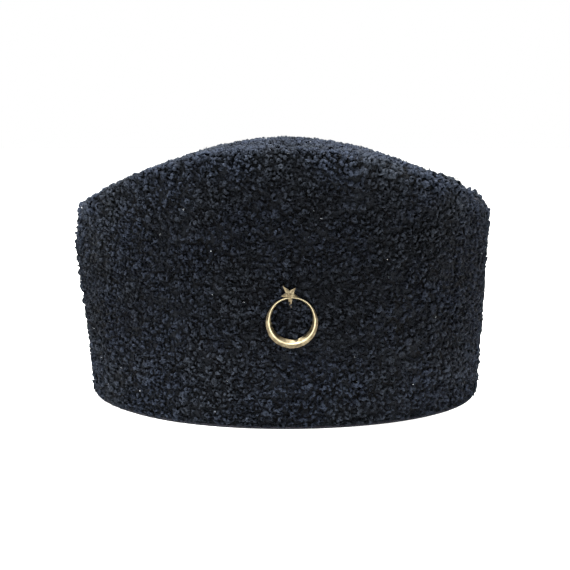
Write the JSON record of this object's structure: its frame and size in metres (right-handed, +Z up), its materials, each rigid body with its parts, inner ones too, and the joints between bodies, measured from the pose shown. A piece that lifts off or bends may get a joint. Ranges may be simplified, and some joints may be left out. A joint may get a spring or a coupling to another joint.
{
  "type": "kalpak",
  "caption": "Tall oval hat of curly black lambswool with an arched crown, open underneath for the head, and a cast brass crescent-and-star badge on its front.",
  "frame": {"origin": "centre of the hat's bounding box, at the hem it stands on", "axes": "+Z up to the crown, -Y to the front with the badge, +X to the viewer's right of the badge"},
  "size_m": [0.2146, 0.2073, 0.1328],
  "materials": {
    "band_wool": "curled lambswool",
    "crown_wool": "curled lambswool",
    "badge_brass": "cast, worn bright on its ridges",
    "nut_brass": "plain turned"
  },
  "bodies": {
    "root": {"side_band": "band_wool", "crown_top": "crown_wool", "crescent_star_badge": "badge_brass", "badge_nut": "nut_brass"}
  },
  "joints": []
}
